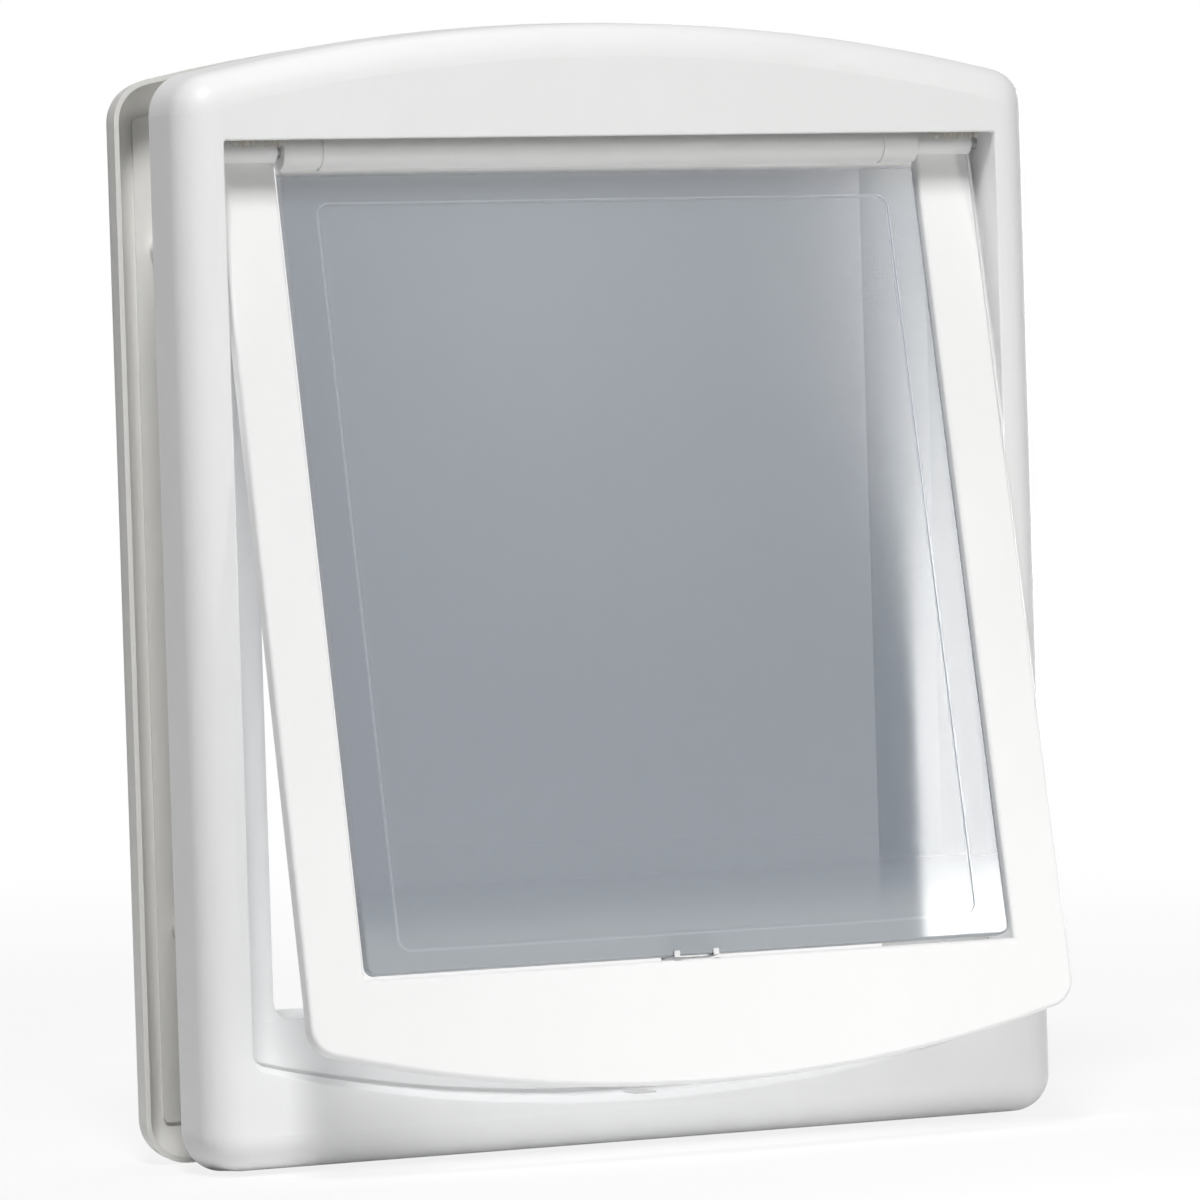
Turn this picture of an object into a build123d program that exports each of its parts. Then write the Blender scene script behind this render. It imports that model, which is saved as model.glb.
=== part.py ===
"""Two-way pet door: two arched clamp frames, a swinging surround and a clear flap inside it.

Millimetres. X is to the right seen from the front, the front faces -Y and +Z is up.
The origin is the middle of the passage, on the plane where the front frame meets the door.
The surround and the clear flap are built in the open pose of the photograph.
"""
import math
import os

from build123d import *

os.makedirs("parts", exist_ok=True)

# Outer shape that both frames share
outer_width = 294.0
outer_height = 352.0
arch_rise = 17.6
corner_radius = 13.5
corner_core = 2.5
side_draft = 4.5
shell_wall = 2.5
rear_rim_wall = 1.6
weld_lap = 1.0

# How far each frame stands off the door, and the thickness of door between them
front_depth = 24.2
rear_depth = 17.0
door_gap = 30.1

# Passage for the animal and the two sleeves that line the door cut-out
passage_side = 30.5
passage_foot = 45.4
passage_head = 36.6
passage_corner = 6.0
sleeve_wall = 2.0
sleeve_clearance = 0.5
front_sleeve_end = 34.0
rear_sleeve_start = 4.0

# Tray in the front frame that takes the closed surround
tray_side = 15.0
tray_head = 36.7
tray_foot = 14.7
tray_low_radius = 497.0
tray_low_corner = 6.0
tray_top_corner = 1.0
tray_wall = 2.2
tray_edge_round = 0.6
lip_rise = 1.8
lip_run = 2.6
floor_front = 3.0
floor_back = 0.5
rest_pad_rise = 1.0
rest_pad_margin = 1.2
hinge_pocket_rise = 5.6

# Hinge that the surround and the clear flap share
axis_y = -9.8
axis_drop = 3.0
open_angle = 11.8
rod_radius = 2.0
rod_end_reach = 3.6
rod_running_gap = 0.05
rod_fixed_gap = 0.02
socket_radius = 4.6
socket_length = 6.0

# Surround, fitted into the tray
surround_side_gap = 2.8
surround_low_gap = 1.0
surround_leg_width = 18.9
surround_rail_height = 38.2
surround_bow_step = 17.0
surround_corner = 9.0
surround_thickness = 5.0
surround_skin = 2.2
surround_rim = 2.0
surround_edge_round = 1.3
surround_barrel_radius = 3.5
surround_pocket_top = 10.0
surround_rib = 1.6
stile_rib_shares = (0.21, 0.41, 0.6, 0.8)
rail_rib_shares = (-0.75, -0.5, -0.25, 0.25, 0.5, 0.75)

# Clear flap, fitted into the surround
flap_side_gap = 1.5
flap_low_gap = 1.25
flap_thickness = 4.0
flap_corner = 3.0
flap_edge_round = 0.7
flap_barrel_radius = 6.0
knuckle_length = 12.8
knuckle_groove_width = 0.8
knuckle_groove_depth = 0.4
field_side = 10.8
field_head = 16.8
field_foot = 6.8
field_corner = 4.0
field_depth = 0.5

# Magnet and steel clip on the lower edge of the clear flap
magnet_half_width = 7.0
magnet_height = 8.0
magnet_thickness = 5.0
clip_sheet = 0.55
clip_gap = 0.05
clip_half_width = 7.6
clip_setback = 1.2
clip_prong_width = 1.9
clip_prong_height = 2.0
clip_back_height = 9.0

# Magnet inside the surround's lower rail
rail_magnet_half_width = 7.0
rail_magnet_height = 7.0
rail_magnet_thickness = 2.5
rail_magnet_gap = 0.1

# Pile strip behind the upper edge of the tray
strip_end_gap = 4.0
strip_depth = 3.0
strip_height = 1.8
pile_inset = 0.5
pile_depth = 1.8
pile_setback = 0.6
pile_length = 6.0

# Catch plate on the middle of the tray's lower lip
catch_half_width = 3.8
catch_top = 0.5
catch_reach = 11.0
catch_foot_half_width = 2.8
catch_foot_depth = 2.0
catch_foot_setback = 8.0
catch_foot_length = 3.4
catch_slot_clearance = 0.15

# Screws through the rear frame into the front frame
screw_side = 21.5
screw_foot = 27.0
screw_head_drop = 31.0
screw_radius = 2.0
screw_head_radius = 3.75
screw_head_height = 3.0
screw_tip_y = 1.5
screw_hole_clearance = 0.25
drive_width = 1.0
drive_length = 4.6
drive_depth = 1.6
front_boss_radius = 4.5
front_boss_end = 14.0
insert_radius = 3.0
insert_length = 9.0
insert_bore_clearance = 0.1
insert_press_gap = 0.02
rear_boss_radius = 5.6
rear_boss_setback = 9.0
head_seat_depth = 6.0
head_seat_radius = 4.3
cap_clearance = 0.05
cap_thickness = 2.6
cap_proud = 0.4
cap_edge_break = 0.3

# Stiffening ribs in the hollow of the front frame
rib_thickness = 2.0
rib_back = 6.0
rib_run_out = 4.0
side_rib_shares = (-0.96, -0.58, -0.19, 0.19, 0.58, 0.89)
top_rib_shares = (-0.72, -0.36, 0.0, 0.36, 0.72)
top_rib_rise = 12.5

# Places that follow from the sizes above
half_width = outer_width / 2
edge_round = corner_radius - corner_core
draft_rise = math.sin(math.radians(side_draft))
draft_run = math.cos(math.radians(side_draft))
passage_width = outer_width - 2 * passage_side
passage_height = outer_height - passage_foot - passage_head
passage_rise = passage_height / 2
bottom_z = -passage_rise - passage_foot
apex_z = bottom_z + outer_height
arch_radius = (half_width**2 + arch_rise**2) / (2 * arch_rise)
arch_centre = apex_z - arch_radius
rear_face = door_gap + rear_depth
tray_half_width = half_width - tray_side
tray_top = apex_z - tray_head
tray_low = bottom_z + tray_foot + lip_rise
hinge_pocket_top = tray_top + hinge_pocket_rise
axis_z = tray_top - axis_drop
rod_half_length = tray_half_width + rod_end_reach
surround_half_width = tray_half_width - surround_side_gap
surround_opening_half = surround_half_width - surround_leg_width
surround_low = axis_z - tray_low - surround_low_gap
surround_opening_low = surround_low - surround_rail_height
surround_low_radius = tray_low_radius - surround_bow_step
flap_half_width = surround_opening_half - flap_side_gap
flap_low = surround_opening_low - flap_low_gap
knuckle_half = flap_half_width - knuckle_length
strip_half_length = tray_half_width - strip_end_gap
screw_x = half_width - screw_side
screw_rows = (screw_foot - passage_rise, passage_rise - screw_head_drop)
front_inset = (edge_round + (front_depth - edge_round) * draft_rise) / draft_run
rear_inset = (edge_round + (rear_depth - edge_round) * draft_rise) / draft_run
side_rib_end = half_width - front_inset + rib_run_out
top_rib_high = hinge_pocket_top + top_rib_rise
rib_front = front_depth - shell_wall / 2

# Plane of the open flap: local x is X, local y runs up the flap, the normal is its front side
tilt = math.radians(open_angle)
flap_front = Plane(
    origin=(0, axis_y, axis_z),
    x_dir=(1, 0, 0),
    z_dir=(0, -math.cos(tilt), math.sin(tilt)),
)
hinge_plane = Plane(origin=(0, axis_y, axis_z), x_dir=(0, 1, 0), z_dir=(1, 0, 0))


def at_depth(y):
    """Upright plane facing the front, at the given Y."""
    return Plane.XZ.offset(-y)


def outline_shape(inset):
    """Arched outline of a frame, moved inwards by the inset."""
    side = half_width - inset
    low = bottom_z + inset
    radius = arch_radius - inset
    shoulder = arch_centre + math.sqrt(radius**2 - side**2)
    with BuildSketch() as outline:
        with BuildLine():
            Line((-side, low), (side, low))
            Line((side, low), (side, shoulder))
            ThreePointArc((side, shoulder), (0, apex_z - inset), (-side, shoulder))
            Line((-side, shoulder), (-side, low))
        make_face()
        fillet(outline.vertices(), radius=corner_radius - inset)
    return outline.sketch


def pan_shape(side, high, low, radius, low_corner, high_corner):
    """Flat-topped shape with a lower edge that bows downwards."""
    sag = radius - math.sqrt(radius**2 - side**2)
    with BuildSketch() as pan:
        with BuildLine():
            ThreePointArc((-side, low + sag), (0, low), (side, low + sag))
            Line((side, low + sag), (side, high))
            Line((side, high), (-side, high))
            Line((-side, high), (-side, low + sag))
        make_face()
        fillet(pan.vertices().group_by(Axis.Y)[0], radius=low_corner)
        if high_corner:
            fillet(pan.vertices().group_by(Axis.Y)[-1], radius=high_corner)
    return pan.sketch


def tray_shape(grow, drop=0):
    """Tray outline in the front frame, grown outwards for its walls, its lower edge dropped."""
    return pan_shape(
        tray_half_width + grow,
        tray_top + grow,
        tray_low - grow - drop,
        tray_low_radius,
        tray_low_corner + grow,
        tray_top_corner + max(grow, 0),
    )


def surround_shape(inset, high):
    """Legs and lower rail of the surround, moved inwards by the inset."""
    opening_half = surround_opening_half + inset
    opening_low = surround_opening_low + inset
    with BuildSketch() as legs:
        add(
            pan_shape(
                surround_half_width - inset,
                high,
                inset - surround_low,
                surround_low_radius,
                surround_corner - inset,
                0,
            )
        )
        with Locations((0, -opening_low / 2)):
            Rectangle(2 * opening_half, opening_low, mode=Mode.SUBTRACT)
    return legs.sketch


def passage_shape(grow):
    """Passage outline, grown outwards for sleeves."""
    with BuildSketch() as passage:
        RectangleRounded(passage_width + 2 * grow, passage_height + 2 * grow, passage_corner + grow)
    return passage.sketch


def rim_path(y):
    """Closed line along the outer edge of a frame at its door side."""
    with BuildSketch(at_depth(y)) as outline:
        add(outline_shape(0))
    return outline.sketch.face().outer_wire()


def section_plane(path, forward):
    """Plane square to the path, local x pointing away from the door and local y outwards."""
    turn = (path % 0) * (-forward)
    return Plane(origin=path @ 0, x_dir=(0, forward, 0), z_dir=turn)


def rim_section(depth, inset, wall):
    """Section of the shell edge: a drafted side from the door, then a round to the face."""
    middle = depth - edge_round
    inner_round = edge_round - wall
    outer_end = (middle + edge_round * draft_rise, edge_round * draft_run - inset)
    inner_end = (middle + inner_round * draft_rise, inner_round * draft_run - inset)
    inner_rim = (0, -wall / draft_run)
    lap_low = -inset - weld_lap
    with BuildSketch() as section:
        with BuildLine():
            Line((0, 0), outer_end)
            CenterArc((middle, -inset), edge_round, 0, 90 - side_draft)
            Line((depth, -inset), (depth, lap_low))
            Line((depth, lap_low), (depth - wall, lap_low))
            Line((depth - wall, lap_low), (depth - wall, -inset))
            CenterArc((middle, -inset), inner_round, 0, 90 - side_draft)
            Line(inner_end, inner_rim)
            Line(inner_rim, (0, 0))
        make_face()
    return section.sketch


def screw_places():
    """Places of the four screws across the frame."""
    return [(x, z) for x in (-screw_x, screw_x) for z in screw_rows]


with BuildPart() as front_frame:
    front_rim = rim_path(0)
    with BuildSketch(section_plane(front_rim, -1)):
        add(rim_section(front_depth, front_inset, shell_wall))
    sweep(path=front_rim)
    with BuildSketch(Plane.XZ.offset(front_depth - shell_wall)):
        add(outline_shape(front_inset))
    extrude(amount=shell_wall)
    # Tray walls, the roof over the hinge and the floor, then the hollow inside them
    with BuildSketch(Plane.XZ.offset(floor_back)):
        add(tray_shape(tray_wall, lip_rise))
    extrude(amount=front_depth - floor_back)
    with BuildSketch(Plane.XZ.offset(floor_back)):
        with Locations((0, (hinge_pocket_top + tray_wall) / 2)):
            Rectangle(2 * (tray_half_width + tray_wall), hinge_pocket_top + tray_wall)
    extrude(amount=front_depth - shell_wall - floor_back)
    with BuildSketch(Plane.XZ.offset(floor_front)):
        add(tray_shape(0))
    extrude(amount=front_depth, mode=Mode.SUBTRACT)
    with BuildSketch(Plane.XZ.offset(floor_front)):
        with Locations((0, hinge_pocket_top / 2)):
            Rectangle(2 * tray_half_width, hinge_pocket_top)
    extrude(amount=front_depth - shell_wall - floor_front, mode=Mode.SUBTRACT)
    # Sloped lower lip, then the softened front edge of the tray
    with BuildSketch(Plane.XZ.offset(front_depth - lip_run)):
        add(tray_shape(0))
    with BuildSketch(Plane.XZ.offset(front_depth)):
        add(tray_shape(0, lip_rise))
    loft(ruled=True, mode=Mode.SUBTRACT)
    face_plate = front_frame.faces().filter_by(Axis.Y).sort_by(Axis.Y)[0]
    fillet(face_plate.inner_wires()[0].edges(), radius=tray_edge_round)
    # Raised rest under the surround's lower rail
    with BuildSketch(Plane.XZ.offset(floor_front)):
        add(tray_shape(-rest_pad_margin))
        with Locations((0, outer_height / 2 - passage_rise)):
            Rectangle(outer_width, outer_height, mode=Mode.SUBTRACT)
    extrude(amount=rest_pad_rise)
    # Passage and the sleeve that lines the door
    with BuildSketch(Plane.XZ.offset(floor_front)):
        add(passage_shape(sleeve_wall))
    extrude(amount=-(floor_front + front_sleeve_end))
    with BuildSketch(Plane.XZ.offset(front_depth)):
        add(passage_shape(0))
    extrude(amount=-(front_depth + front_sleeve_end), mode=Mode.SUBTRACT)
    # Screw bosses that reach into the door
    with BuildSketch(Plane.XZ.offset(floor_back)):
        with Locations(screw_places()):
            Circle(front_boss_radius)
    extrude(amount=-(floor_back + front_boss_end))
    with BuildSketch(at_depth(front_boss_end)):
        with Locations(screw_places()):
            Circle(insert_radius + insert_press_gap)
    extrude(amount=insert_length, mode=Mode.SUBTRACT)
    with BuildSketch(at_depth(front_boss_end)):
        with Locations(screw_places()):
            Circle(screw_radius + screw_hole_clearance)
    extrude(amount=front_boss_end, mode=Mode.SUBTRACT)
    # Blind sockets for the ends of the hinge rod
    for side in (-1, 1):
        with BuildSketch(hinge_plane.offset(side * tray_half_width)):
            Circle(socket_radius)
        extrude(amount=side * socket_length)
        with BuildSketch(hinge_plane.offset(side * tray_half_width)):
            Circle(rod_radius + rod_fixed_gap)
        extrude(amount=side * rod_end_reach, mode=Mode.SUBTRACT)
    # Slot for the foot of the catch
    with BuildSketch(Plane.XY.offset(tray_low + tray_wall)):
        with Locations((0, -front_depth + catch_foot_setback)):
            Rectangle(
                2 * (catch_foot_half_width + catch_slot_clearance),
                catch_foot_depth + 2 * catch_slot_clearance,
            )
    extrude(amount=-3 * tray_wall, mode=Mode.SUBTRACT)
    # Ribs between the tray and the rolled edge
    for side in (-1, 1):
        for share in side_rib_shares:
            with BuildSketch(Plane.XZ.offset(rib_back)):
                with Locations((side * (tray_half_width + side_rib_end) / 2, share * passage_rise)):
                    Rectangle(side_rib_end - tray_half_width - tray_wall / 2, rib_thickness)
            extrude(amount=rib_front - rib_back)
    for share in top_rib_shares:
        with BuildSketch(Plane.XZ.offset(rib_back)):
            with Locations((share * tray_half_width, (hinge_pocket_top + tray_wall / 2 + top_rib_high) / 2)):
                Rectangle(rib_thickness, top_rib_high - hinge_pocket_top - tray_wall / 2)
        extrude(amount=rib_front - rib_back)
front_frame.part.label = "front_frame"
export_step(front_frame.part, "parts/front_frame.step")


with BuildPart() as rear_frame:
    rear_rim = rim_path(door_gap)
    with BuildSketch(section_plane(rear_rim, 1)):
        add(rim_section(rear_depth, rear_inset, rear_rim_wall))
    sweep(path=rear_rim)
    with BuildSketch(at_depth(rear_face)):
        add(outline_shape(rear_inset))
    extrude(amount=shell_wall)
    with BuildSketch(at_depth(rear_face)):
        add(passage_shape(2 * sleeve_wall + sleeve_clearance))
    extrude(amount=rear_face - rear_sleeve_start)
    with BuildSketch(at_depth(door_gap + rear_boss_setback)):
        with Locations(screw_places()):
            Circle(rear_boss_radius)
    extrude(amount=-(rear_depth - rear_boss_setback - shell_wall / 2))
    with BuildSketch(at_depth(rear_face)):
        add(passage_shape(sleeve_wall + sleeve_clearance))
    extrude(amount=rear_face - rear_sleeve_start, mode=Mode.SUBTRACT)
    with BuildSketch(at_depth(rear_face)):
        with Locations(screw_places()):
            Circle(head_seat_radius)
    extrude(amount=head_seat_depth, mode=Mode.SUBTRACT)
    with BuildSketch(at_depth(rear_face)):
        with Locations(screw_places()):
            Circle(screw_radius + screw_hole_clearance)
    extrude(amount=rear_depth, mode=Mode.SUBTRACT)
rear_frame.part.label = "rear_frame"
export_step(rear_frame.part, "parts/rear_frame.step")


with BuildPart() as flap_surround:
    with BuildSketch(flap_front):
        add(surround_shape(0, 0))
    extrude(amount=-surround_thickness)
    front_edges = flap_surround.faces().sort_by(Axis((0, 0, 0), flap_front.z_dir))[-1].edges()
    fillet(front_edges, radius=surround_edge_round)
    with BuildSketch(flap_front.offset(-surround_thickness)):
        add(surround_shape(surround_rim, -surround_pocket_top))
    extrude(amount=surround_thickness - surround_skin, mode=Mode.SUBTRACT)
    # Cross ribs behind the legs and the rail
    leg_middle = (surround_half_width + surround_opening_half) / 2
    with BuildSketch(flap_front.offset(-surround_thickness)):
        for share in stile_rib_shares:
            drop = share * surround_opening_low
            with Locations((-leg_middle, -drop), (leg_middle, -drop)):
                Rectangle(surround_leg_width - surround_rim, surround_rib)
        for share in rail_rib_shares:
            place = share * surround_opening_half
            sag = surround_low_radius - math.sqrt(surround_low_radius**2 - place**2)
            rib_height = surround_rail_height - sag
            with Locations((place, -surround_opening_low - rib_height / 2)):
                Rectangle(surround_rib, rib_height - surround_rim)
    extrude(amount=surround_thickness - surround_skin / 2)
    # Hinge barrels at the upper ends of the legs
    for side in (-1, 1):
        with BuildSketch(hinge_plane.offset(side * surround_opening_half)):
            Circle(surround_barrel_radius)
        extrude(amount=side * surround_leg_width)
    with BuildSketch(hinge_plane.offset(-surround_half_width)):
        Circle(rod_radius + rod_running_gap)
    extrude(amount=2 * surround_half_width, mode=Mode.SUBTRACT)
flap_surround.part.label = "flap_surround"
export_step(flap_surround.part, "parts/flap_surround.step")


with BuildPart() as clear_flap:
    with BuildSketch(flap_front):
        with BuildLine():
            FilletPolyline(
                (flap_half_width, 0),
                (flap_half_width, -flap_low),
                (-flap_half_width, -flap_low),
                (-flap_half_width, 0),
                radius=flap_corner,
            )
            Line((-flap_half_width, 0), (flap_half_width, 0))
        make_face()
    extrude(amount=-flap_thickness)
    flap_edges = clear_flap.faces().sort_by(Axis((0, 0, 0), flap_front.z_dir))[-1].edges()
    fillet(flap_edges, radius=flap_edge_round)
    with BuildSketch(hinge_plane.offset(-flap_half_width)):
        Circle(flap_barrel_radius)
    extrude(amount=2 * flap_half_width)
    with BuildSketch(hinge_plane.offset(-flap_half_width)):
        Circle(rod_radius + rod_running_gap)
    extrude(amount=2 * flap_half_width, mode=Mode.SUBTRACT)
    # Parting grooves of the two end knuckles
    for side in (-1, 1):
        with BuildSketch(hinge_plane.offset(side * knuckle_half)):
            Circle(flap_barrel_radius)
            Circle(flap_barrel_radius - knuckle_groove_depth, mode=Mode.SUBTRACT)
        extrude(amount=side * knuckle_groove_width, mode=Mode.SUBTRACT)
    # Sunk field with rounded corners
    with BuildSketch(flap_front):
        with Locations((0, -(flap_low + field_head - field_foot) / 2)):
            RectangleRounded(
                2 * (flap_half_width - field_side),
                flap_low - field_head - field_foot,
                field_corner,
            )
    extrude(amount=-field_depth, mode=Mode.SUBTRACT)
clear_flap.part.label = "clear_flap"
export_step(clear_flap.part, "parts/clear_flap.step")


with BuildPart() as hinge_rod:
    with BuildSketch(hinge_plane.offset(-rod_half_length)):
        Circle(rod_radius)
    extrude(amount=2 * rod_half_length)
hinge_rod.part.label = "hinge_rod"
export_step(hinge_rod.part, "parts/hinge_rod.step")


with BuildPart() as flap_magnet:
    with BuildSketch(flap_front.offset(-flap_thickness)):
        with Locations((0, -flap_low + magnet_height / 2)):
            Rectangle(2 * magnet_half_width, magnet_height)
    extrude(amount=-magnet_thickness)
flap_magnet.part.label = "flap_magnet"
export_step(flap_magnet.part, "parts/flap_magnet.step")


with BuildPart() as magnet_clip:
    clip_low = flap_low + clip_gap + clip_sheet
    clip_back = flap_thickness + magnet_thickness + clip_gap + clip_sheet
    prong_x = clip_half_width - clip_prong_width / 2
    prong_middle = clip_prong_height / 2 - clip_low
    sheet_middle = clip_sheet / 2 - clip_low
    with BuildSketch(flap_front.offset(-clip_setback)):
        with Locations((0, sheet_middle)):
            Rectangle(2 * clip_half_width, clip_sheet)
    extrude(amount=clip_setback - clip_back)
    with BuildSketch(flap_front.offset(clip_gap + clip_sheet)):
        with Locations((-prong_x, sheet_middle), (prong_x, sheet_middle)):
            Rectangle(clip_prong_width, clip_sheet)
    extrude(amount=-(clip_gap + clip_sheet + 2 * clip_setback))
    with BuildSketch(flap_front.offset(clip_gap)):
        with Locations((-prong_x, prong_middle), (prong_x, prong_middle)):
            Rectangle(clip_prong_width, clip_prong_height)
    extrude(amount=clip_sheet)
    with BuildSketch(flap_front.offset(-flap_thickness - magnet_thickness - clip_gap)):
        with Locations((0, -clip_low + clip_back_height / 2)):
            Rectangle(2 * clip_half_width, clip_back_height)
    extrude(amount=-clip_sheet)
magnet_clip.part.label = "magnet_clip"
export_step(magnet_clip.part, "parts/magnet_clip.step")


with BuildPart() as rail_magnet:
    rail_magnet_high = surround_opening_low + surround_rim + rail_magnet_gap
    with BuildSketch(flap_front.offset(-surround_skin)):
        with Locations((0, -rail_magnet_high - rail_magnet_height / 2)):
            Rectangle(2 * rail_magnet_half_width, rail_magnet_height)
    extrude(amount=-rail_magnet_thickness)
rail_magnet.part.label = "rail_magnet"
export_step(rail_magnet.part, "parts/rail_magnet.step")


strip_front = front_depth - shell_wall
with BuildPart() as strip_backing:
    with BuildSketch(Plane.XZ.offset(strip_front)):
        with Locations((0, hinge_pocket_top - strip_height / 2)):
            Rectangle(2 * strip_half_length, strip_height)
    extrude(amount=-strip_depth)
strip_backing.part.label = "strip_backing"
export_step(strip_backing.part, "parts/strip_backing.step")


with BuildPart() as strip_pile:
    with BuildSketch(Plane.XZ.offset(strip_front - pile_setback)):
        with Locations((0, hinge_pocket_top - strip_height - pile_length / 2)):
            Rectangle(2 * (strip_half_length - pile_inset), pile_length)
    extrude(amount=-pile_depth)
strip_pile.part.label = "strip_pile"
export_step(strip_pile.part, "parts/strip_pile.step")


catch_seat = tray_low + tray_low_radius - math.sqrt(tray_low_radius**2 - catch_half_width**2)
with BuildPart() as sill_catch:
    with BuildSketch(Plane.XY.offset(catch_seat)):
        with Locations((0, -front_depth + (lip_run + catch_reach) / 2)):
            Rectangle(2 * catch_half_width, catch_reach - lip_run)
    extrude(amount=catch_top)
    with BuildSketch(Plane.XY.offset(catch_seat)):
        with Locations((0, -front_depth + catch_foot_setback)):
            Rectangle(2 * catch_foot_half_width, catch_foot_depth)
    extrude(amount=-catch_foot_length)
sill_catch.part.label = "sill_catch"
export_step(sill_catch.part, "parts/sill_catch.step")


head_seat = rear_face - head_seat_depth
with BuildPart() as fixing_screws:
    with BuildSketch(at_depth(head_seat)):
        with Locations(screw_places()):
            Circle(screw_head_radius)
    extrude(amount=-screw_head_height)
    with BuildSketch(at_depth(head_seat)):
        with Locations(screw_places()):
            Circle(screw_radius)
    extrude(amount=head_seat - screw_tip_y)
    with BuildSketch(at_depth(head_seat + screw_head_height)):
        with Locations(screw_places()):
            Rectangle(drive_length, drive_width)
            Rectangle(drive_width, drive_length)
    extrude(amount=drive_depth, mode=Mode.SUBTRACT)
fixing_screws.part.label = "fixing_screws"
export_step(fixing_screws.part, "parts/fixing_screws.step")


with BuildPart() as threaded_inserts:
    with BuildSketch(at_depth(front_boss_end)):
        with Locations(screw_places()):
            Circle(insert_radius)
            Circle(screw_radius + insert_bore_clearance, mode=Mode.SUBTRACT)
    extrude(amount=insert_length)
threaded_inserts.part.label = "threaded_inserts"
export_step(threaded_inserts.part, "parts/threaded_inserts.step")


with BuildPart() as screw_caps:
    with BuildSketch(at_depth(rear_face + cap_proud)):
        with Locations(screw_places()):
            Circle(head_seat_radius - cap_clearance)
    extrude(amount=cap_thickness)
    chamfer(screw_caps.faces().group_by(Axis.Y)[-1].edges(), length=cap_edge_break)
screw_caps.part.label = "screw_caps"
export_step(screw_caps.part, "parts/screw_caps.step")
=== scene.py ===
"""Looks of the pet door: finishes, pile, screws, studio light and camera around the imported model."""
import math

import bpy
from mathutils import Euler, Matrix, Vector


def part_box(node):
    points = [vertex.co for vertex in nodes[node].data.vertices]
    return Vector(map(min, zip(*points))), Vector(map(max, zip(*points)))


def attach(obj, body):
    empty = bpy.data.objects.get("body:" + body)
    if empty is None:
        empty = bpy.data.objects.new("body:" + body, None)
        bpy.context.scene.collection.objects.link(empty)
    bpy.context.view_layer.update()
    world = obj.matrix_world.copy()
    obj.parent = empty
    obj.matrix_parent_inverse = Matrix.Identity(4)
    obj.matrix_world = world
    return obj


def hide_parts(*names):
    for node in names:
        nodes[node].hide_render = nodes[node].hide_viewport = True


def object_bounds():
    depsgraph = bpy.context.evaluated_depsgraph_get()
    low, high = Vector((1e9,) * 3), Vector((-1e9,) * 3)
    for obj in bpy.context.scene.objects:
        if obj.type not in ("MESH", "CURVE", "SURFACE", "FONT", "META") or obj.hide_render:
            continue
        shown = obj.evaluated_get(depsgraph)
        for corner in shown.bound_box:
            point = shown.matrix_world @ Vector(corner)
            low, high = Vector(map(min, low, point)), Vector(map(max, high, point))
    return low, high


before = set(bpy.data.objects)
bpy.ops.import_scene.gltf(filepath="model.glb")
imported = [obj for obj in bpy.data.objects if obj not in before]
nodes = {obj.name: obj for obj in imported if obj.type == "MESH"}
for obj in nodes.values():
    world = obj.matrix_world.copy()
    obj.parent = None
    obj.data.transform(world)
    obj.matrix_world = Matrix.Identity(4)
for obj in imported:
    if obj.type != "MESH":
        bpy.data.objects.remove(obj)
cad_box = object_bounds()
scene = bpy.context.scene
MM = 0.001

# Hinge axis, and the angle at which the flap stands open
AXIS_Y, AXIS_Z = -9.8 * MM, 131.9 * MM
OPEN_ANGLE = math.radians(11.8)

# Clear panel: sizes across it and down from the hinge axis. A fade says where a mask is 0 and where it is 1
FIELD_HALF_WIDTH, FIELD_HALF_HEIGHT, FIELD_CORNER = 98.0 * MM, 115.9 * MM, 4.0 * MM
FIELD_MIDDLE = 132.7 * MM
FIELD_FADE = (0.2 * MM, -0.4 * MM)
# Painted highlight: the line fade marks a pale line on the field's edge
LINE_FADE = (0.7 * MM, 0.25 * MM)
FRONT_FADE = (-3.0 * MM, -1.5 * MM)
BARREL_FADE = (8.5 * MM, 6.2 * MM)
# Painted light: the upper fade, the pale middle with its fade, and the foot fade mark where the panel is
# painted paler
UPPER_FADE = (190.0 * MM, 30.0 * MM)
FOOT_FADE = (222.0 * MM, 250.0 * MM)
PAINTED_LIGHT_MIDDLE, PAINTED_LIGHT_FADE = -25.0 * MM, (100.0 * MM, 0.0)
PANEL_DEEP = (0.14, 0.172, 0.225, 1)
PANEL_PALE = (0.27, 0.31, 0.35, 1)
# Painted light: the foot colour paints the panel's foot paler
PANEL_FOOT_PAINTED_LIGHT = (0.40, 0.43, 0.46, 1)
# Painted highlight: colour of the pale line on the field's edge
PANEL_LINE_PAINTED_HIGHLIGHT = (0.50, 0.54, 0.58, 1)
# Milky barrel, its near-white colour also painted light for light shining through it
PANEL_BARREL_MILKY_AND_PAINTED_LIGHT = (0.90, 0.90, 0.885, 1)
PANEL_INDEX = 1.585
MOULDING_INDEX = 1.46

# Pile: rows along and across the strip, and how far each fibre strays from its place, bends and leans
FIBRES_ALONG, FIBRES_ACROSS = 430, 4
STRAY_ALONG, STRAY_ACROSS = 0.28 * MM, 0.16 * MM
FIBRE_BEND = 0.35 * MM
LEAN_ACROSS, LEAN_ALONG = 0.10, 0.12
FIBRE_RADIUS, TIP_SHARE = 0.24 * MM, 0.45
TUFT_WIDTH = 3.7 * MM
LEG_START, LEG_EDGE = 110.5 * MM, 1.0 * MM
STRIP_END_ROOM, STRIP_SIDE_ROOM = 0.6 * MM, 0.5 * MM

# Screws
CORE_RADIUS, THREAD_HEIGHT, THREAD_PITCH = 1.65 * MM, 0.34 * MM, 0.7 * MM
HEAD_RADIUS, HEAD_HEIGHT, CROWN_SHARE = 3.75 * MM, 3.0 * MM, 0.62
CROSS_LONG, CROSS_NARROW = 1.24, 0.27
HEAD_OVERLAP = 0.1 * MM

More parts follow.
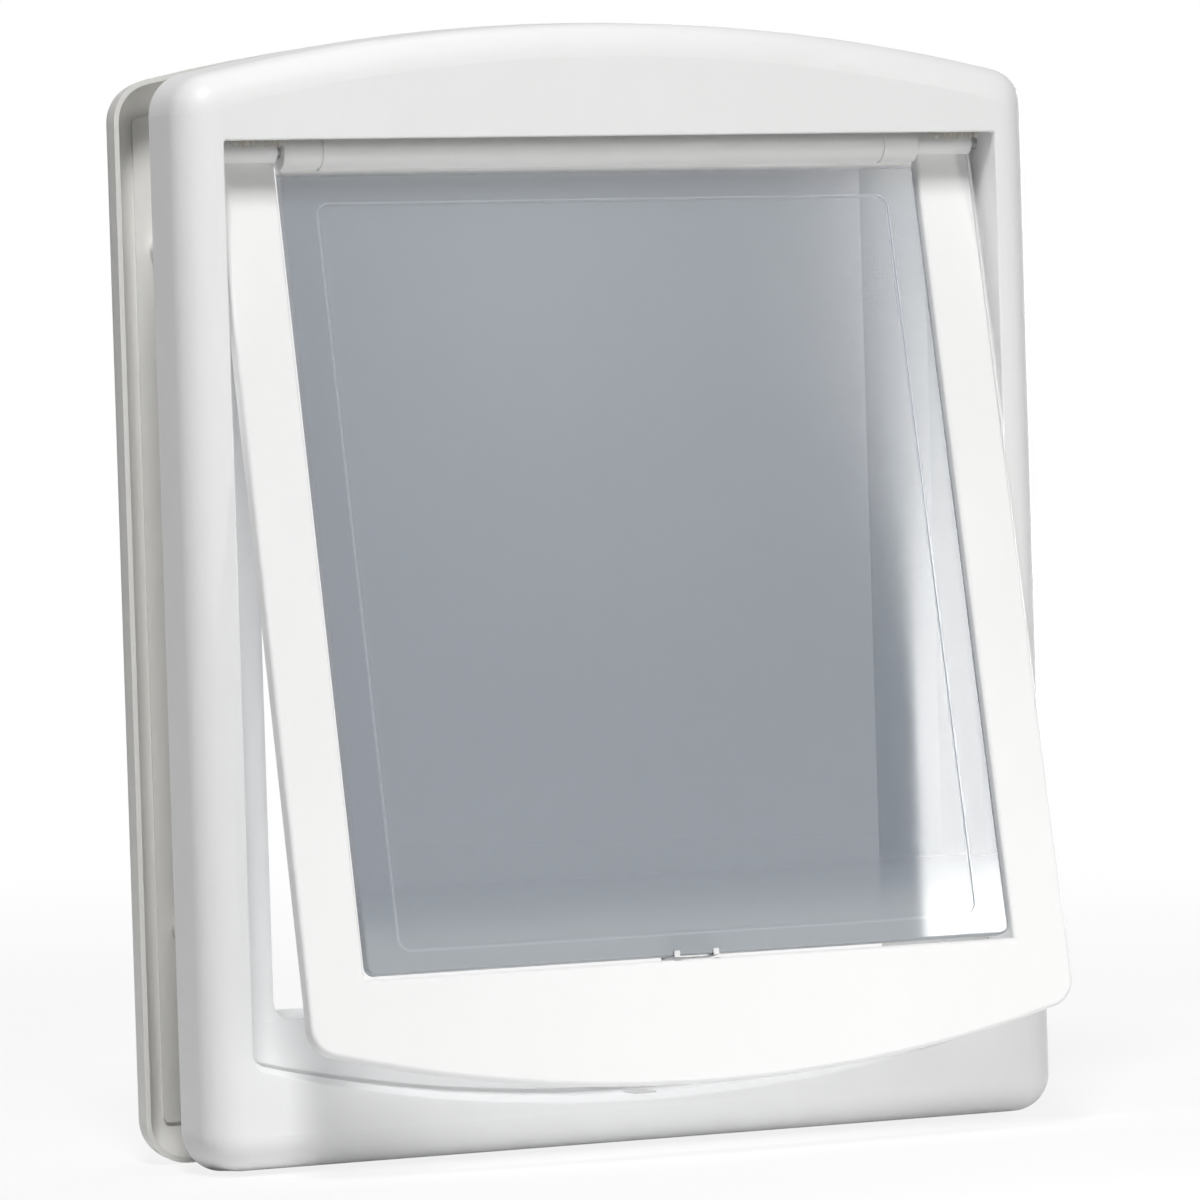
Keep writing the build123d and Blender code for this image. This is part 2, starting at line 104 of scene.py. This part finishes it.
# Studio: lamps with their place, aim, width and height, radiance, and colour and roll where these differ
LAMPS = (
    ("key softbox", (-0.60, -1.14, 1.785), (0.0, 0.0, 0.0), (0.42, 0.58), 51.5),
    ("low strip", (0.05, -0.27, -0.162), (0.03, -0.04, -0.135), (0.5, 0.06), 2.0),
    ("sill strip", (0.04, -0.043, -0.1778), (0.04, -0.02, -0.176), (0.24, 0.005), 1.0),
    ("lip strip", (-0.005, -0.030, -0.138), (-0.005, -0.0265, -0.160), (0.18, 0.008), 2.2),
    ("tunnel strip", (-0.106, 0.02, 0.005), (0.11, 0.015, 0.0), (0.02, 0.19), 19.0),
    ("crown softbox", (0.15, 0.25, 1.0), (0.1, 0.0, 0.17), (0.5, 0.3), 2.4),
    ("back fill", (1.5, 1.3, 0.15), (0.0, 0.03, 0.0), (1.0, 0.6), 13.0),
    ("right fill", (1.7, -1.0, 0.3), (0.0, 0.0, 0.0), (1.0, 1.0), 0.5),
    (
        "strip softbox",
        (1.0077, -1.5813, 0.6374),
        (0.106, -0.040, -0.014),
        (0.11, 0.58),
        17.5,
        (1.0, 0.985, 0.955),
        math.radians(-11.0),
    ),
)
WHITE = (1, 1, 1, 1)
AMBIENT_BEHIND, AMBIENT_AHEAD = (0.05, 0.05, 0.051, 1), (0.006, 0.006, 0.006, 1)
REFLECTED_SHARE = 0.2
FLOOR_HALF, FLOOR_GAP = 6.0, 0.2 * MM
FLOOR_FADE, FLOOR_NEAR = (0.5, 1.6), 0.84

# Camera: left of the door's middle line, a little above its centre, slightly rolled
CAMERA_PLACE = (-0.9069, -1.9835, 0.0442)
CAMERA_YAW, CAMERA_PITCH, CAMERA_ROLL = math.radians(24.56), math.radians(-1.42), math.radians(-1.77)
SENSOR_WIDTH, FOCAL_LENGTH = 36.0, 207.9


class Patch:
    """A socket in a node tree. Arithmetic on it adds Math nodes to that tree."""

    def __init__(self, tree, socket=None):
        self.tree = tree
        self.socket = socket

    def add(self, kind, settings, inputs, output=0):
        """Adds a node of any kind: its settings first, then the values or links of its sockets."""
        node = self.tree.nodes.new(kind)
        for name, setting in settings.items():
            setattr(node, name, setting)
        for name, given in inputs.items():
            if isinstance(given, Patch):
                self.tree.links.new(given.socket, node.inputs[name])
            else:
                node.inputs[name].default_value = given
        if not node.outputs:
            return None
        return Patch(self.tree, node.outputs[output])

    def work(self, operation, first, second=0.0):
        return self.add("ShaderNodeMath", {"operation": operation}, {0: first, 1: second})

    def __add__(self, other):
        return self.work("ADD", self, other)

    def __radd__(self, other):
        return self.work("ADD", other, self)

    def __sub__(self, other):
        return self.work("SUBTRACT", self, other)

    def __rsub__(self, other):
        return self.work("SUBTRACT", other, self)

    def __mul__(self, other):
        return self.work("MULTIPLY", self, other)

    def __rmul__(self, other):
        return self.work("MULTIPLY", other, self)

    def __truediv__(self, other):
        return self.work("DIVIDE", self, other)

    def __rtruediv__(self, other):
        return self.work("DIVIDE", other, self)

    def __abs__(self):
        return self.work("ABSOLUTE", self)

    def fraction(self):
        return self.work("FRACT", self)

    def above_zero(self):
        return self.work("MAXIMUM", self)

    def ramp(self, low, high):
        """0 at low and 1 at high, smooth between them."""
        return self.add(
            "ShaderNodeMapRange",
            {"interpolation_type": "SMOOTHSTEP"},
            {"Value": self, "From Min": low, "From Max": high},
        )

    def noise(self, scale, detail=2.0, roughness=0.5):
        """Noise of this many waves to the metre, on the vector in this patch."""
        return self.add(
            "ShaderNodeTexNoise",
            {},
            {"Vector": self, "Scale": scale, "Detail": detail, "Roughness": roughness},
        )

    def stretched(self, scale, rotation=(0.0, 0.0, 0.0)):
        """The vector in this patch, scaled and turned."""
        return self.add("ShaderNodeMapping", {}, {"Vector": self, "Rotation": rotation, "Scale": scale})

    def bump(self, strength, distance):
        """The normal of a surface that is raised by this value."""
        return self.add("ShaderNodeBump", {}, {"Strength": strength, "Distance": distance, "Height": self})

    def mix(self, first, second):
        """Goes from the first colour to the second as this value goes from 0 to 1."""
        return self.add("ShaderNodeMix", {"data_type": "RGBA"}, {0: self, 6: first, 7: second}, 2)

    def axis(self, name):
        return self.add("ShaderNodeSeparateXYZ", {}, {0: self}, name)

    def vector(self, x=0.0, y=0.0, z=0.0):
        return self.add("ShaderNodeCombineXYZ", {}, {"X": x, "Y": y, "Z": z})

    def length(self):
        return self.add("ShaderNodeVectorMath", {"operation": "LENGTH"}, {0: self}, "Value")


def start_finish(name):
    """An empty material and the object coordinates in it."""
    material = bpy.data.materials.new(name)
    material.use_nodes = True
    material.node_tree.nodes.clear()
    place = Patch(material.node_tree).add("ShaderNodeTexCoord", {}, {}, "Object")
    return material, place


def surface(place, inputs):
    shader = place.add("ShaderNodeBsdfPrincipled", {}, inputs)
    place.add("ShaderNodeOutputMaterial", {}, {"Surface": shader})


def moulded_white(name, pale, warm, roughness):
    """Satin moulding: faint flow drift, fine spark-eroded grain and rubbed patches."""
    material, place = start_finish(name)
    drift = place.noise(scale=7.0, detail=3.0)
    flow = place.stretched((1.0, 1.0, 0.25)).noise(scale=60.0, detail=4.0, roughness=0.6)
    grain = place.noise(scale=1500.0)
    rubbed = place.noise(scale=24.0, detail=5.0, roughness=0.62).ramp(0.5, 0.72)
    tone = drift.ramp(0.3, 0.7) * 0.55 + flow.ramp(0.35, 0.7) * 0.25 + grain * 0.2
    dents = grain * 0.7 + flow * 0.3
    surface(
        place,
        {
            "Base Color": tone.mix(pale, warm),
            "Roughness": roughness + (grain - 0.5) * 0.08 - rubbed * 0.05,
            "IOR": MOULDING_INDEX,
            "Normal": dents.bump(strength=0.1, distance=0.08 * MM),
        },
    )
    return material


def tinted_panel(name):
    """Grey clear moulding: field with a pale edge line that is a painted highlight, milky barrel painted
    near-white as painted light shining through it, moulding flow and light scuffs; painted light also makes
    the upper part, most at its middle, and the foot paler.
    """
    material, place = start_finish(name)
    across = place.axis("X")
    ahead, below = AXIS_Y - place.axis("Y"), AXIS_Z - place.axis("Z")
    drop = ahead * math.sin(OPEN_ANGLE) + below * math.cos(OPEN_ANGLE)
    forward = ahead * math.cos(OPEN_ANGLE) - below * math.sin(OPEN_ANGLE)
    # The barrel is milky, and its near-white colour is also painted light for light shining through it
    barrel = place.work("SQRT", ahead * ahead + below * below).ramp(*BARREL_FADE)

    # Distance outside the field's rounded outline
    beside = abs(across) - (FIELD_HALF_WIDTH - FIELD_CORNER)
    beyond = abs(drop - FIELD_MIDDLE) - (FIELD_HALF_HEIGHT - FIELD_CORNER)
    rounded = place.vector(beside.above_zero(), beyond.above_zero()).length()
    inside = place.work("MINIMUM", place.work("MAXIMUM", beside, beyond))
    outside = rounded + inside - FIELD_CORNER
    field = outside.ramp(*FIELD_FADE)
    # Painted highlight: a pale line along the field's edge, on the front face only
    line = abs(outside).ramp(*LINE_FADE) * forward.ramp(*FRONT_FADE)

    cloud = place.noise(scale=9.0, detail=3.0)
    flow = place.stretched((1.0, 1.0, 0.12)).noise(scale=90.0, detail=3.0)
    scratches = place.stretched((6.0, 1.0, 0.5), rotation=(0.0, 0.35, 0.0))
    scuff = scratches.noise(scale=70.0, detail=6.0, roughness=0.7).ramp(0.6, 0.75)
    # Painted light: the upper part, most of all near its middle, and the foot are painted paler; the upper
    # mask also makes the top rougher
    upper, foot = drop.ramp(*UPPER_FADE), drop.ramp(*FOOT_FADE)
    middle = abs(across - PAINTED_LIGHT_MIDDLE).ramp(*PAINTED_LIGHT_FADE)
    painted_light_and_tone = upper * middle * 0.35 + upper * 0.22 + field * 0.18 + (cloud - 0.5) * 0.15
    tint = foot.mix(painted_light_and_tone.mix(PANEL_DEEP, PANEL_PALE), PANEL_FOOT_PAINTED_LIGHT)
    tint = (line * 0.6).mix(tint, PANEL_LINE_PAINTED_HIGHLIGHT)
    surface(
        place,
        {
            "Base Color": barrel.mix(tint, PANEL_BARREL_MILKY_AND_PAINTED_LIGHT),
            "Roughness": 0.02 + upper * 0.08 + flow * 0.015 + scuff * 0.02 + barrel * 0.2,
            "IOR": PANEL_INDEX,
            "Alpha": 0.56 + barrel * 0.38 + foot * 0.30 + line * 0.06 + scuff * 0.03,
            "Normal": cloud.bump(strength=0.02, distance=0.1 * MM),
        },
    )
    return material


def drawn_metal(name, colour, along):
    """Bright drawn metal: fine lines along one axis and a few dull spots."""
    material, place = start_finish(name)
    lines = place.stretched(along).noise(scale=2600.0, detail=3.0)
    spots = place.noise(scale=320.0, detail=4.0, roughness=0.6).ramp(0.55, 0.75)
    dull = tuple(0.62 * part for part in colour[:3]) + (1,)
    surface(
        place,
        {
            "Base Color": (spots * 0.6 + lines * 0.2).mix(colour, dull),
            "Metallic": 1.0,
            "Roughness": 0.24 + lines * 0.16 + spots * 0.14,
            "Normal": lines.bump(strength=0.15, distance=0.04 * MM),
        },
    )
    return material


def pressed_ferrite(name):
    """Dark sintered magnet: grains and chipped pale dust."""
    material, place = start_finish(name)
    grains = place.add("ShaderNodeTexVoronoi", {}, {"Vector": place, "Scale": 1800.0}, "Distance")
    dust = place.noise(scale=420.0, detail=4.0).ramp(0.5, 0.8)
    shade = dust * 0.7 + grains * 0.3
    surface(
        place,
        {
            "Base Color": shade.mix((0.03, 0.031, 0.034, 1), (0.085, 0.086, 0.09, 1)),
            "Roughness": 0.62 + dust * 0.2,
            "Normal": grains.bump(strength=0.3, distance=0.08 * MM),
        },
    )
    return material


def woven_backing(name):
    """Stiff woven tape behind the pile: over-and-under threads."""
    material, place = start_finish(name)
    threads_to_metre = 900.0
    across = (place.axis("X") * threads_to_metre).fraction()
    up = (place.axis("Z") * threads_to_metre).fraction()
    threads = abs(across - 0.5) + abs(up - 0.5)
    fuzz = place.noise(scale=2200.0, detail=3.0)
    shade = threads * 0.7 + fuzz * 0.4
    surface(
        place,
        {
            "Base Color": shade.mix((0.30, 0.28, 0.245, 1), (0.55, 0.53, 0.48, 1)),
            "Roughness": 0.82 + fuzz * 0.12,
            "Normal": threads.bump(strength=0.5, distance=0.2 * MM),
        },
    )
    return material


def pile_yarn(name):
    """Soft off-white fibres with painted shade that darkens them towards the backing, where they stand
    close.
    """
    material, place = start_finish(name)
    low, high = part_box("strip_pile")
    # Painted shade: the fibres are painted darker towards the backing
    root_shade = place.axis("Z").ramp(low.z + 0.6 * MM, high.z)
    strand = place.noise(scale=1600.0, detail=3.0)
    shade = root_shade * 0.85 + strand * 0.25
    surface(
        place,
        {
            "Base Color": shade.mix((0.66, 0.64, 0.58, 1), (0.27, 0.24, 0.18, 1)),
            "Roughness": 0.72 + strand * 0.2,
        },
    )
    return material


def finished_piece(name, tree, settings, start=None):
    """Runs a Geometry Nodes tree on a new object and keeps its result as a plain mesh."""
    piece = bpy.data.objects.new(name, start or bpy.data.meshes.new(name))
    scene.collection.objects.link(piece)
    rows = piece.modifiers.new(name, "NODES")
    rows.node_group = tree
    for item in tree.interface.items_tree:
        if item.in_out == "INPUT" and item.name in settings:
            rows[item.identifier] = settings[item.name]
    graph = bpy.context.evaluated_depsgraph_get()
    mesh = bpy.data.meshes.new_from_object(piece.evaluated_get(graph), depsgraph=graph)
    piece.modifiers.clear()
    piece.data = mesh
    return piece


def start_tree(name, sizes):
    """A Geometry Nodes tree with these named inputs, and a patch for each of them."""
    tree = bpy.data.node_groups.new(name, "GeometryNodeTree")
    tree.interface.new_socket("Geometry", in_out="INPUT", socket_type="NodeSocketGeometry")
    for size in sizes:
        tree.interface.new_socket(size, in_out="INPUT", socket_type="NodeSocketFloat")
    tree.interface.new_socket("Geometry", in_out="OUTPUT", socket_type="NodeSocketGeometry")
    source = tree.nodes.new("NodeGroupInput")
    given = {label: Patch(tree, source.outputs[label]) for label in ["Geometry", *sizes]}
    return tree, given


def end_tree(shape, material):
    """Realize Instances, Set Material and the tree's output."""
    real = shape.add("GeometryNodeRealizeInstances", {}, {"Geometry": shape})
    painted = shape.add("GeometryNodeSetMaterial", {}, {"Geometry": real, "Material": material})
    shape.add("NodeGroupOutput", {}, {"Geometry": painted})


def moved(shape, offset):
    """The shape with its points moved by an offset that is worked out at each of them."""
    return shape.add("GeometryNodeSetPosition", {}, {"Geometry": shape, "Offset": offset})


def joined(first, second):
    both = first.add("GeometryNodeJoinGeometry", {}, {"Geometry": first})
    both.tree.links.new(second.socket, both.socket.node.inputs["Geometry"])
    return both


def random_vector(patch, least, most, seed):
    return patch.add(
        "FunctionNodeRandomValue", {"data_type": "FLOAT_VECTOR"}, {0: least, 1: most, "Seed": seed}
    )


def pile_fibres(material):
    """Rows of tapered, slightly bent fibres that hang from the backing and reach furthest over the legs."""
    tree, given = start_tree(
        "pile rows",
        ["Strip Length", "Strip Depth", "Fibre Length", "Fibre Radius", "Tuft Width", "Leg Start"],
    )
    start = given["Geometry"]
    rows = start.add(
        "GeometryNodeMeshGrid",
        {},
        {
            "Size X": given["Strip Length"],
            "Size Y": given["Strip Depth"],
            "Vertices X": FIBRES_ALONG,
            "Vertices Y": FIBRES_ACROSS,
        },
    )
    stray = random_vector(
        start, (-STRAY_ALONG, -STRAY_ACROSS, 0.0), (STRAY_ALONG, STRAY_ACROSS, 0.0), seed=3
    )
    rows = moved(rows, stray)
    fibre = start.add(
        "GeometryNodeMeshCone",
        {"fill_type": "NGON"},
        {
            "Vertices": 5,
            "Side Segments": 3,
            "Radius Top": given["Fibre Radius"] * TIP_SHARE,
            "Radius Bottom": given["Fibre Radius"],
            "Depth": given["Fibre Length"],
        },
    )
    spot = start.add("GeometryNodeInputPosition", {}, {})
    along = spot.axis("Z") / given["Fibre Length"]
    fibre = moved(fibre, start.vector(x=along * along * FIBRE_BEND))
    turn = random_vector(
        start,
        (math.pi - LEAN_ACROSS, -LEAN_ALONG, -math.pi),
        (math.pi + LEAN_ACROSS, LEAN_ALONG, math.pi),
        seed=7,
    )
    along_tuft = (spot.axis("X") / given["Tuft Width"]).fraction()
    single = start.add("FunctionNodeRandomValue", {"data_type": "FLOAT"}, {2: 0.0, 3: 0.03, "Seed": 11}, 1)
    leg_start = given["Leg Start"]
    over_legs = abs(spot.axis("X")).ramp(leg_start - LEG_EDGE, leg_start + LEG_EDGE)
    tuft = 0.8 * over_legs * along_tuft * (1 - along_tuft)
    reach = 0.58 + over_legs * 0.18 + tuft + single
    pile = start.add(
        "GeometryNodeInstanceOnPoints",
        {},
        {"Points": rows, "Instance": fibre, "Rotation": turn, "Scale": start.vector(1.0, 1.0, reach)},
    )
    end_tree(pile, material)
    low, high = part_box("strip_pile")
    piece = finished_piece(
        "pile_fibres",
        tree,
        {
            "Strip Length": high.x - low.x - STRIP_END_ROOM,
            "Strip Depth": high.y - low.y - STRIP_SIDE_ROOM,
            "Fibre Length": high.z - low.z,
            "Fibre Radius": FIBRE_RADIUS,
            "Tuft Width": TUFT_WIDTH,
            "Leg Start": LEG_START,
        },
    )
    piece.data.transform(Matrix.Translation(((low.x + high.x) / 2, (low.y + high.y) / 2, high.z)))
    return piece


def screw_shank(places, given):
    """Shank with a cut thread, from its seat downwards."""
    core, length = given["Core Radius"], given["Shank Length"]
    shank = places.add(
        "GeometryNodeMeshCylinder",
        {"fill_type": "NGON"},
        {"Vertices": 16, "Side Segments": 300, "Radius": core, "Depth": length},
    )
    spot = places.add("GeometryNodeInputPosition", {}, {})
    round_turn = spot.work("ARCTAN2", spot.axis("Y"), spot.axis("X")) / math.tau
    crest = 1 - abs((spot.axis("Z") / given["Pitch"] + round_turn).fraction() * 2 - 1)
    height = given["Thread Height"] * crest / core
    shank = moved(shank, places.vector(spot.axis("X") * height, spot.axis("Y") * height))
    centred = places.vector(z=length * -0.5 + HEAD_OVERLAP)
    return places.add("GeometryNodeTransform", {}, {"Geometry": shank, "Translation": centred})


def screw_head(places, given):
    """Domed head with a cross recess."""
    head, tall = given["Head Radius"], given["Head Height"]
    dome = places.add(
        "GeometryNodeMeshCone",
        {"fill_type": "NGON"},
        {
            "Vertices": 32,
            "Side Segments": 6,
            "Radius Top": head * CROWN_SHARE,
            "Radius Bottom": head,
            "Depth": tall,
        },
    )
    spot = places.add("GeometryNodeInputPosition", {}, {})
    rise = spot.axis("Z") / tall
    crown = rise * (1 - rise) * 0.9
    dome = moved(dome, places.vector(spot.axis("X") * crown, spot.axis("Y") * crown))
    arms = []
    for wide, deep in ((CROSS_LONG, CROSS_NARROW), (CROSS_NARROW, CROSS_LONG)):
        size = places.vector(head * wide, head * deep, tall)
        arms.append(places.add("GeometryNodeMeshCube", {}, {"Size": size}))
    lift = places.vector(z=tall)
    cross = places.add("GeometryNodeTransform", {}, {"Geometry": joined(*arms), "Translation": lift})
    return places.add(
        "GeometryNodeMeshBoolean", {"operation": "DIFFERENCE"}, {"Mesh 1": dome, "Mesh 2": cross}
    )


def threaded_screws(material):
    """Four screws, each with a threaded shank and a domed head."""
    tree, given = start_tree(
        "threaded screws",
        ["Core Radius", "Thread Height", "Pitch", "Shank Length", "Head Radius", "Head Height"],
    )
    places = given["Geometry"]
    screw = joined(screw_shank(places, given), screw_head(places, given))
    set_of_four = places.add(
        "GeometryNodeInstanceOnPoints",
        {},
        {"Points": places, "Instance": screw, "Rotation": (-math.pi / 2, 0.0, 0.0)},
    )
    end_tree(set_of_four, material)
    low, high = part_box("fixing_screws")
    across = high.x - HEAD_RADIUS
    seat = high.y - HEAD_HEIGHT
    rows = (low.z + HEAD_RADIUS, high.z - HEAD_RADIUS)
    spots = bpy.data.meshes.new("screw_places")
    spots.from_pydata([(x, seat, z) for x in (-across, across) for z in rows], [], [])
    return finished_piece(
        "threaded_screws",
        tree,
        {
            "Core Radius": CORE_RADIUS,
            "Thread Height": THREAD_HEIGHT,
            "Pitch": THREAD_PITCH,
            "Shank Length": seat - low.y,
            "Head Radius": HEAD_RADIUS,
            "Head Height": HEAD_HEIGHT,
        },
        spots,
    )


def paint(node, material):
    """Gives a carried-over node its finish."""
    mesh = nodes[node].data
    if not mesh.materials:
        mesh.materials.append(material)
    for slot in nodes[node].material_slots:
        slot.material = material


def white_to_view(patch):
    """1 for rays that show the background directly or through clear parts, and a share for reflections."""
    seen = patch.add("ShaderNodeLightPath", {}, {}, "Is Camera Ray")
    through = Patch(patch.tree, seen.socket.node.outputs["Is Transmission Ray"])
    mirrored = Patch(patch.tree, seen.socket.node.outputs["Is Glossy Ray"])
    return seen.work("MINIMUM", seen + through + mirrored * REFLECTED_SHARE, 1.0)


def studio_floor():
    """Pale floor under the door that fades into the white surroundings."""
    half, level = FLOOR_HALF, cad_box[0][2] - FLOOR_GAP
    corners = [(-half, -half, level), (half, -half, level), (half, half, level), (-half, half, level)]
    mesh = bpy.data.meshes.new("studio_floor")
    mesh.from_pydata(corners, [], [(0, 1, 2, 3)])
    floor = bpy.data.objects.new("studio_floor", mesh)
    scene.collection.objects.link(floor)
    material, place = start_finish("studio floor")
    away = place.length().ramp(*FLOOR_FADE)
    shade = place.noise(scale=30.0, detail=3.0).mix((0.84, 0.84, 0.845, 1), (0.87, 0.87, 0.87, 1))
    matt = place.add("ShaderNodeBsdfDiffuse", {}, {"Color": shade})
    white = place.add("ShaderNodeEmission", {}, {"Color": WHITE, "Strength": 1.0})
    share = white_to_view(place) * (FLOOR_NEAR + away * (1 - FLOOR_NEAR))
    cover = place.add("ShaderNodeMixShader", {}, {0: share, 1: matt, 2: white})
    place.add("ShaderNodeOutputMaterial", {}, {"Surface": cover})
    mesh.materials.append(material)


def softbox(name, place, aim, size, radiance, colour=(1.0, 1.0, 1.0), roll=0.0):
    """Rectangular lamp with this radiance, pointing from its place to its aim."""
    lamp = bpy.data.lights.new(name, "AREA")
    lamp.shape = "RECTANGLE"
    lamp.size, lamp.size_y = size
    lamp.energy = radiance * math.pi * size[0] * size[1]
    lamp.color = colour
    holder = bpy.data.objects.new(name, lamp)
    holder.location = place
    facing = (Vector(aim) - Vector(place)).to_track_quat("-Z", "Y")
    holder.rotation_euler = (facing @ Euler((0.0, 0.0, roll)).to_quaternion()).to_euler()
    holder.visible_camera = False
    scene.collection.objects.link(holder)


def white_surroundings():
    """White where the view shows the background, and a dim light that is weaker from the front."""
    world = bpy.data.worlds.new("white surroundings")
    scene.world = world
    world.use_nodes = True
    world.node_tree.nodes.clear()
    sky = Patch(world.node_tree)
    shown = sky.add("ShaderNodeBackground", {}, {"Color": WHITE, "Strength": 1.0})
    ahead = sky.add("ShaderNodeTexCoord", {}, {}, "Generated").axis("Y").ramp(0.5, -0.5)
    shade = ahead.mix(AMBIENT_BEHIND, AMBIENT_AHEAD)
    ambient = sky.add("ShaderNodeBackground", {}, {"Color": shade, "Strength": 1.0})
    both = sky.add("ShaderNodeMixShader", {}, {0: white_to_view(sky), 1: ambient, 2: shown})
    sky.add("ShaderNodeOutputWorld", {}, {"Surface": both})


def photo_camera():
    """Camera at its place, turned by its yaw, pitch and roll."""
    level = math.cos(CAMERA_PITCH)
    sight = Vector((math.sin(CAMERA_YAW) * level, math.cos(CAMERA_YAW) * level, math.sin(CAMERA_PITCH)))
    side = Vector((math.cos(CAMERA_YAW), -math.sin(CAMERA_YAW), 0.0))
    rise = side.cross(sight)
    right = side * math.cos(CAMERA_ROLL) + rise * math.sin(CAMERA_ROLL)
    up = rise * math.cos(CAMERA_ROLL) - side * math.sin(CAMERA_ROLL)
    lens = bpy.data.cameras.new("camera")
    lens.sensor_width = SENSOR_WIDTH
    lens.lens = FOCAL_LENGTH
    camera = bpy.data.objects.new("camera", lens)
    turned = Matrix((right, up, -sight)).transposed().to_4x4()
    camera.matrix_world = Matrix.Translation(CAMERA_PLACE) @ turned
    scene.collection.objects.link(camera)
    scene.camera = camera


# Finishes
paint("front_frame", moulded_white("frame white", (0.86, 0.862, 0.862, 1), (0.83, 0.83, 0.828, 1), 0.46))
paint("rear_frame", moulded_white("rear frame white", (0.86, 0.855, 0.83, 1), (0.82, 0.812, 0.78, 1), 0.38))
paint("flap_surround", moulded_white("surround white", (0.88, 0.88, 0.878, 1), (0.86, 0.86, 0.855, 1), 0.33))
# Painted shadow: the catch is painted grey to stand for the soft shadow at the lip
paint("sill_catch", moulded_white("catch grey painted shadow", (0.60, 0.60, 0.59, 1), (0.56, 0.56, 0.55, 1), 0.36))
paint("screw_caps", moulded_white("cap white", (0.86, 0.857, 0.835, 1), (0.82, 0.815, 0.785, 1), 0.34))
paint("clear_flap", tinted_panel("grey clear panel"))
paint("hinge_rod", drawn_metal("hinge rod steel", (0.60, 0.60, 0.61, 1), (0.02, 1.0, 1.0)))
paint("magnet_clip", drawn_metal("clip steel", (0.66, 0.67, 0.68, 1), (0.05, 1.0, 1.0)))
paint("fixing_screws", drawn_metal("plain screw steel", (0.58, 0.58, 0.57, 1), (1.0, 0.05, 1.0)))
paint("threaded_inserts", drawn_metal("insert brass", (0.72, 0.50, 0.22, 1), (1.0, 0.05, 1.0)))
paint("flap_magnet", moulded_white("coated magnet", (0.36, 0.37, 0.38, 1), (0.31, 0.32, 0.33, 1), 0.5))
paint("rail_magnet", pressed_ferrite("pressed ferrite"))
paint("strip_backing", woven_backing("woven backing"))
yarn = pile_yarn("pile yarn")
paint("strip_pile", yarn)

# Pieces that stand for plain CAD nodes
pile = pile_fibres(yarn)
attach(pile, "frame")
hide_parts("strip_pile")
screws = threaded_screws(drawn_metal("screw steel", (0.58, 0.58, 0.57, 1), (1.0, 0.05, 1.0)))
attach(screws, "frame")
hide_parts("fixing_screws")

# Studio
studio_floor()
for lamp in LAMPS:
    softbox(*lamp)
white_surroundings()
photo_camera()
scene.view_settings.view_transform = "Standard"
